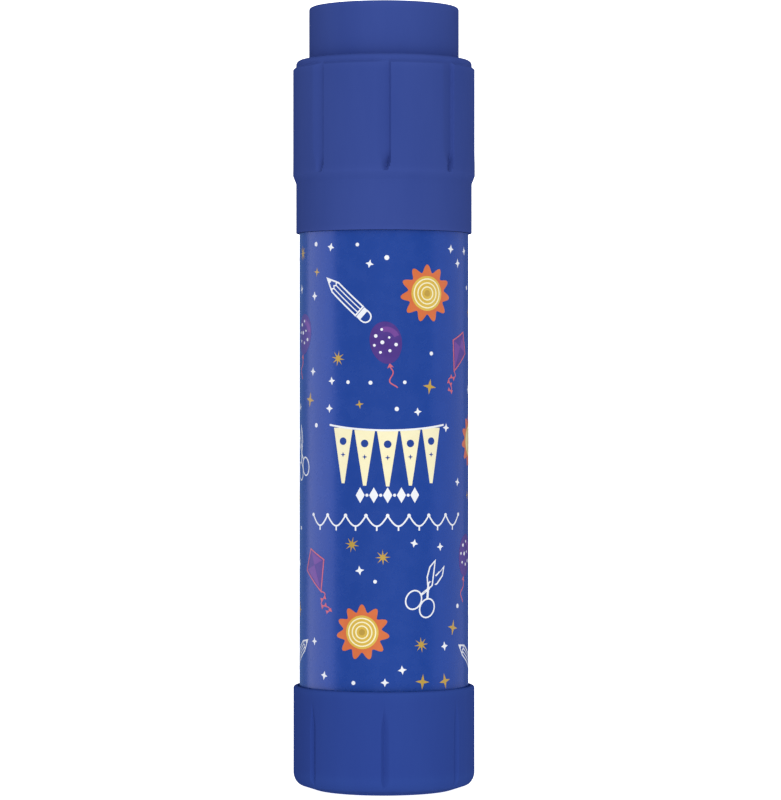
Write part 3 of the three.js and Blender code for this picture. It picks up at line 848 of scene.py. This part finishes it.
def sparkle(ink, spot, points=4, waist=0.34, layer=0):
    # a twinkle: the radius falls from 1 at each point to waist half way between two points
    blot(ink, polar(np.tile([1.0, waist], points), points * 2), spot, layer, rings=1)


def dot(ink, spot, layer=0):
    blot(ink, polar(1.0, 12), spot, layer, rings=1)


def daisy(spot):
    # an open flower: eleven orange petals under a yellow disc with cream rings
    blot("orange", polar(lambda a: 1.0 + 0.16 * np.cos(11 * a), 132), spot, 0, rings=4)
    blot("yellow", polar(0.70, 48), spot, 1, rings=3)
    for radius in (0.58, 0.42, 0.26):
        stroke("cream", polar(radius, 60), 0.14, spot, 2, closed=True)
    blot("gold", polar(0.13, 16), spot, 2, rings=1)


def pencil(spot):
    # a sharpened pencil in outline: barrel with two long edges, cone, lead, ferrule and rubber
    line, side, foot, cone, tip = 0.17, 0.34, -1.2, 0.85, 1.62
    body = [(-side, foot), (side, foot), (side, cone), (0.0, tip), (-side, cone)]
    stroke("white", densified(body, 0.5, True), line, spot, closed=True)
    for x in (-0.11, 0.12):
        stroke("white", densified([(x, foot), (x, 0.87)], 0.5), line * 0.7, spot)
    waves = [(-side, cone), (-0.22, 0.97), (-0.11, 0.86), (0.0, 0.98), (0.12, 0.86), (0.23, 0.97),
             (side, cone)]
    stroke("white", np.array(waves), line * 0.8, spot)
    lead = [(0.0, 1.66), (-0.13, 1.34), (0.0, 1.29), (0.13, 1.34)]
    blot("white", np.array(lead), spot, rings=1)
    ferrule = [(-0.36, -1.52), (0.36, -1.52), (0.36, -1.28), (-0.36, -1.28)]
    blot("white", densified(ferrule, 0.3, True), spot, rings=1)
    top = [(0.33, -1.52), (-0.33, -1.52)]
    rubber = np.concatenate([arcPath((0, -1.68), 0.33, 180, 360, 9), top])
    stroke("white", rubber, line * 0.9, spot, closed=True)


def balloon(spot):
    # A party balloon in violet: x = -(0.86 - 0.05 (1 - cos a)) sin a, y = cos a - 0.07 (1 - cos a)
    # from the top round, with a plum highlight band, white spots, and a rose knot and string.
    a = np.linspace(0, 2 * np.pi, 64, endpoint=False)
    low = 1 - np.cos(a)
    skin = np.stack([-(0.86 - 0.05 * low) * np.sin(a), np.cos(a) - 0.07 * low], -1)
    blot("violet", skin, spot, 0, rings=5)
    band = np.concatenate([arcPath((0, 0), 0.74, 15, 95, 14), arcPath((0, 0), 0.48, 95, 15, 14)])
    blot("plum", band, spot, 1)
    for x, y, size in ((-0.45, 0.35, 0.09), (-0.1, 0.62, 0.07), (-0.6, -0.1, 0.07),
                       (-0.18, -0.02, 0.1), (0.12, -0.5, 0.08), (0.48, -0.25, 0.09),
                       (-0.36, -0.5, 0.07), (0.2, 0.16, 0.06)):
        dot("white", within(spot, x, y, size), 2)
    knot = [(0.0, -1.1), (-0.17, -1.36), (0.0, -1.3), (0.17, -1.36)]
    blot("rose", np.array(knot), spot, 0, rings=1)
    t = np.linspace(0, 1, 22)
    stroke("rose", np.stack([0.2 * np.sin(t * 7.5) * t ** 0.5, -1.3 - 1.1 * t], -1), 0.14, spot)


def kite(spot):
    # A kite: a violet diamond with two plum quarters, rose edges and a tail with bows, which waves
    # as x = 0.22 sin(9 t) while y falls by 1.1 t.
    corners = np.array([(0.0, 1.1), (-0.78, 0.25), (0.0, -1.15), (0.78, 0.25)])
    blot("violet", densified(corners, 0.3, True), spot, 0, rings=4)
    for y, x in ((0.95, 0.66), (-0.98, -0.66)):
        blot("plum", densified([(0.0, y), (0.0, 0.25), (x, 0.25)], 0.3, True), spot, 1)
    stroke("rose", densified(corners, 0.3, True), 0.14, spot, 2, closed=True)
    t = np.linspace(0, 1, 24)
    stroke("rose", np.stack([0.22 * np.sin(t * 9), -1.15 - 1.1 * t], -1), 0.12, spot)
    for t in (0.34, 0.66, 0.97):
        knot = np.array([0.22 * np.sin(t * 9), -1.15 - 1.1 * t])
        for x, y in ((-0.18, 0.11), (0.18, -0.11)):
            blot("rose", knot + np.array([(x, y), (x, -y), (0.0, 0.0)]), spot, 1, rings=1)


def scissors(spot):
    # a pair of safety scissors in outline: two crossed blades, a pivot and two finger loops
    line = 0.16
    blade = np.array([
        (0.0, 0.0), (0.34, 0.5), (0.45, 1.0), (0.33, 1.42), (0.12, 0.9), (-0.12, 0.28)])
    for side in (-1, 1):
        stroke("white", blade * (side, 1), line, spot, closed=True)
        stroke("white", np.array([(0.0, 0.0), (-0.2 * side, -0.42)]), line * 1.6, spot)
        loop = arcPath((-0.42 * side, -0.83), 0.4, 0, 345, 22, 1.2)
        stroke("white", loop, line, spot, closed=True)
    dot("white", within(spot, 0.0, 0.05, 0.09))


def bunting(spot, flags=5, pitch=2.5, drop=6.0, sag=0.5):
    # A string of cream pennants on a white cord that hangs in a parabola: y = sag (x / half)^2.
    half = flags * pitch / 2
    string = np.linspace(-half - 0.5, half + 0.5, 40)
    stroke("white", np.stack([string, sag * (string / half) ** 2], -1), 0.2, spot, 1)
    wide, narrow = pitch * 0.46, pitch * 0.07
    for k in range(flags):
        x = (k - (flags - 1) / 2) * pitch
        top = sag * (x / half) ** 2 - 0.05
        pennant = [(x + wide, top), (x - wide, top), (x - narrow, top - drop),
                   (x + narrow, top - drop)]
        blot("cream", densified(pennant, 0.5, True), spot, 0, rings=4)
        dot("blue", within(spot, x, top - 1.45, 0.42), 1)
        sparkle("blue", within(spot, x, top - 2.9, 0.3), layer=1)


def beadRow(spot, count=5, pitch=1.5):
    # a short white row: lozenges with a dot between each two
    for k in range(count):
        x = (k - (count - 1) / 2) * pitch
        lozenge = np.array([(x, 0.85), (x - 0.5, 0.0), (x, -0.85), (x + 0.5, 0.0)])
        blot("white", lozenge, spot, rings=1)
        if k < count - 1:
            dot("white", within(spot, x + pitch / 2, 0.0, 0.17))


def scallops(spot, count=8, pitch=2.35, drop=1.15):
    # A thin white festoon: half waves y = -drop sin(pi t) side by side, a bead where two meet and a
    # tassel below each.
    line, t = 0.17, np.linspace(0, 1, 15)
    for k in range(count):
        x = (k - count / 2) * pitch
        stroke("white", np.stack([x + pitch * t, -drop * np.sin(np.pi * t)], -1), line, spot)
        tassel = np.array([(x + pitch / 2, -drop), (x + pitch / 2, -drop - 0.5)])
        stroke("white", tassel, line, spot)
    for k in range(count + 1):
        dot("white", within(spot, (k - count / 2) * pitch, 0.0, 0.2))


# where each drawing is: distance round the film from the front's middle, height, size, turn
design = {
    daisy: [(4.9, 54.4, 2.7, 0), (-2.4, 17.8, 2.6, 0), (13.6, 38.4, 2.5, 0), (17.6, 56.0, 2.2, 0),
            (24.2, 27.6, 2.5, 0), (-18.4, 43.4, 2.5, 0), (-24.4, 16.8, 2.4, 0)],
    pencil: [(-4.4, 54.0, 1.9, 48), (12.4, 14.8, 1.7, 62), (18.8, 46.6, 1.9, 128),
             (24.2, 18.2, 1.7, -35), (-18.8, 31.2, 1.9, 30), (-12.6, 15.2, 1.7, -58)],
    balloon: [(0.2, 49.2, 2.15, 10), (11.8, 26.0, 2.2, -14), (-11.2, 50.2, 2.1, -12),
              (24.4, 54.0, 2.1, 10), (17.8, 22.2, 2.1, 8), (-24.4, 51.2, 2.2, 12),
              (-24.6, 29.2, 2.1, -6)],
    kite: [(10.0, 48.2, 2.1, -26), (-8.6, 24.4, 2.2, 22), (18.4, 35.2, 2.0, 14),
           (-17.6, 55.0, 2.0, -18), (-17.6, 22.6, 2.1, 12)],
    scissors: [(5.0, 22.4, 2.2, -30), (-12.2, 37.0, 2.1, 18), (24.8, 41.6, 2.2, 24),
               (-25.2, 39.4, 2.0, -18)],
    bunting: [(0.4, 39.6, 1.0, 0)],
    beadRow: [(0.4, 32.6, 1.0, 0)],
    scallops: [(0.4, 30.4, 1.0, 0)],
}
scatter = dict(
    seed=11, count=dict(gold=26, white=74), gap=dict(gold=1.5, white=0.9), margin=1.2, seam=1.6,
    clear=1.75, turn=12, giveUp=0.0004,
)


def scattered():
    # Small sparkles and dots between the drawings: each random place is kept if it is clear of the
    # drawings and of the ones before it. After a place that isn't, a small chance ends the search,
    # so that it ends on a full label too. Gives for each ink s, z, a chance and a turn.
    random = np.random.default_rng(scatter["seed"])
    taken = [(s, z, scatter["clear"] * size)
             for draw in (daisy, pencil, balloon, kite, scissors)
             for s, z, size, turn in design[draw]]
    strung = design[balloon] + design[kite]
    strings = [(s - 0.2, z - 2.6 * size, 0.9) for s, z, size, turn in strung]
    pennants = [(s, z, 2.1) for z in (38.5, 36.0) for s in (-4.6, -1.5, 1.5, 4.6)]
    festoon = [(s, 30.9, 1.9) for s in (-9, -6.5, -4, -1.5, 1.5, 4, 6.5, 9)]
    taken += strings + pennants + festoon
    half = np.pi * printRadius - scatter["seam"]
    low, high = filmFoot + scatter["margin"], shoulderSeam - scatter["margin"]
    found = {"gold": [], "white": []}
    for ink, spots in found.items():
        gap = scatter["gap"][ink]
        while len(spots) < scatter["count"][ink]:
            s, z = random.uniform(-half, half), random.uniform(low, high)
            if all(np.hypot(s - a, z - b) > r + gap for a, b, r in taken):
                turn = scatter["turn"]
                spots.append((s, z, random.uniform(0, 1), random.uniform(-turn, turn)))
                taken.append((s, z, gap))
            elif random.uniform(0, 1) < scatter["giveUp"]:
                break
    return found


for draw, spots in design.items():
    for spot in spots:
        draw(spot)
small = scattered()
for s, z, chance, turn in small["white"]:
    if chance < 0.35:  # about one in three is a dot, and their sizes vary
        dot("white", (s, z, 0.2 + 0.2 * chance, 0))
    else:
        sparkle("white", (s, z, 0.42 + 0.1 * chance, turn), waist=0.42)
for s, z, chance, turn in small["gold"]:  # the rarer ones have eight points, and some are small
    size, points = 0.5 if chance < 0.3 else 0.85, 4 if chance < 0.6 else 8
    sparkle("gold", (s, z, size, turn), points, waist=0.3)
for ink, store in inkMeshes.items():
    printed = meshOf("print" + ink.capitalize(), *[np.concatenate(part) for part in store[:3]])
    place(printed, "ink" + ink.capitalize(), "barrel_body", "printed_film")

# The camera stands as far off and as high as the photograph's outline asks for.
camera = dict(distance=385.0, height=42.87, lens=156.8, sensor=36, pixels=800, offCentre=6.55)
cameraData = bpy.data.cameras.new("camera")
cameraData.sensor_width, cameraData.lens = camera["sensor"], camera["lens"]
cameraData.shift_x = camera["offCentre"] / camera["pixels"]
cameraData.clip_start, cameraData.clip_end = 0.01, 20
cameraObject = linked("camera", cameraData)
cameraObject.location = (0, -camera["distance"] * mm, camera["height"] * mm)
cameraObject.rotation_euler = (np.pi / 2, 0, 0)
scene.camera = cameraObject

# The studio, in metres: a paper sweep, a soft room that only fills, and four walls of light.
studio = dict(
    paper=1.0, radius=1.6, curve=0.5, wall=1.6, innerRing=0.3, bendSteps=13, columns=96,
    room=0.37, front=0.88, back=0.4, flag=0.6, flagEdge=0.2, wallDistance=0.8, wallHeight=0.7,
)
lightWalls = dict(  # azimuth to the right of the camera, width, glow, tint
    leftWall=(-98, 0.84, 2.2, (0.61, 0.64, 1.0)),
    leftEdge=(-150, 0.7, 0.55, (0.32, 0.54, 1.0)),
    rightWall=(103, 1.08, 0.8, (0.6, 0.64, 1.0)),
    rightEdge=(155, 0.6, 0.34, (0.36, 0.48, 1.0)),
)


def paperSweep():
    # A white paper floor that curves up into a wall all round: a level run, a quarter circle of
    # radius curve and an upright run, turned round the axis and seen from inside.
    flatEnd = studio["radius"] - studio["curve"]
    bend = np.radians(np.linspace(-90, 0, studio["bendSteps"]))[1:]
    radius = np.concatenate([[0, studio["innerRing"], flatEnd],
                             flatEnd + studio["curve"] * np.cos(bend), [studio["radius"]]])
    height = np.concatenate([[0, 0, 0], studio["curve"] * (1 + np.sin(bend)), [studio["wall"]]])
    columns = studio["columns"]
    points = aroundAxis(radius[:, None], evenAngles(columns), height[:, None]).reshape(-1, 3)
    quads = skinFaces(len(radius), columns, False, False)[0][:, ::-1]
    fan = np.stack([quads[:columns, 0], quads[:columns, 1], np.zeros(columns, int)], -1)
    made = meshOf("paperSweep", *withoutSpares(points, quads[columns:], fan))
    startMaterial("whitePaper", {
        "Base Color": linear("#f4f4f4"), "Roughness": 0.9, "Specular IOR Level": 0.1,
        "Emission Color": (1, 1, 1, 1), "Emission Strength": studio["paper"]})
    made.data.materials.append(bpy.data.materials["whitePaper"])
    made.visible_glossy = made.visible_diffuse = made.visible_shadow = False
    return made


def wallOfLight(name, azimuth, width, glow, tint):
    # An upright rectangular light aimed at the stick's middle. A surface as bright as glow needs
    # pi * glow * area of power. It is mirrored in what is glossy and doesn't fill.
    light = bpy.data.lights.new(name, "AREA")
    light.shape = "RECTANGLE"
    light.size, light.size_y = width, studio["wallHeight"]
    light.energy = np.pi * glow * width * studio["wallHeight"]
    light.color = tint
    made = linked(name, light)
    turn = np.radians(azimuth)
    made.location = aroundAxis(studio["wallDistance"], turn, camera["height"] * mm)
    made.rotation_euler = (np.pi / 2, 0, turn)
    made.visible_diffuse = False


def softRoom():
    # Brightest towards the camera and a little brighter behind, with -x and y as a direction's
    # level parts: strength = room + front * max(0, -y) + back * max(0, y). A flag shades the left
    # corner behind, where min(-x, y) is positive, to 1 - flag of that.
    world = bpy.data.worlds.new("room")
    world.use_nodes = True
    tree = world.node_tree
    level = addNode(tree, "VectorMath", {
        0: addNode(tree, "TexCoord").outputs["Generated"], 1: (-1, 1, 0)}, operation="MULTIPLY")
    way = addNode(tree, "VectorMath", {"Vector": level}, operation="NORMALIZE")
    left, y = addNode(tree, "SeparateXYZ", {"Vector": way}).outputs[:2]
    ahead = addNode(tree, "MapRange", {
        "Value": y, **span("From", -1.0, 0.0),
        **span("To", studio["room"] + studio["front"], studio["room"])})
    behind = addNode(tree, "MapRange", {"Value": y, "To Max": studio["back"]})
    bare = addNode(tree, "Math", {0: ahead, 1: behind}, operation="ADD")
    corner = addNode(tree, "Math", {0: left, 1: y}, operation="MINIMUM")
    shade = addNode(tree, "MapRange", {
        "Value": corner, "From Max": studio["flagEdge"], **span("To", 1.0, 1 - studio["flag"])})
    strength = addNode(tree, "Math", {0: bare, 1: shade}, operation="MULTIPLY")
    setInputs(tree, tree.nodes["Background"], {"Color": (1, 1, 1, 1), "Strength": strength})
    return world


paperSweep()
for name, wall in lightWalls.items():
    wallOfLight(name, *wall)
scene.world = softRoom()
scene.world.cycles_visibility.glossy = False
scene.view_settings.view_transform = "Standard"
scene.view_settings.look = "None"
print("studio ready")
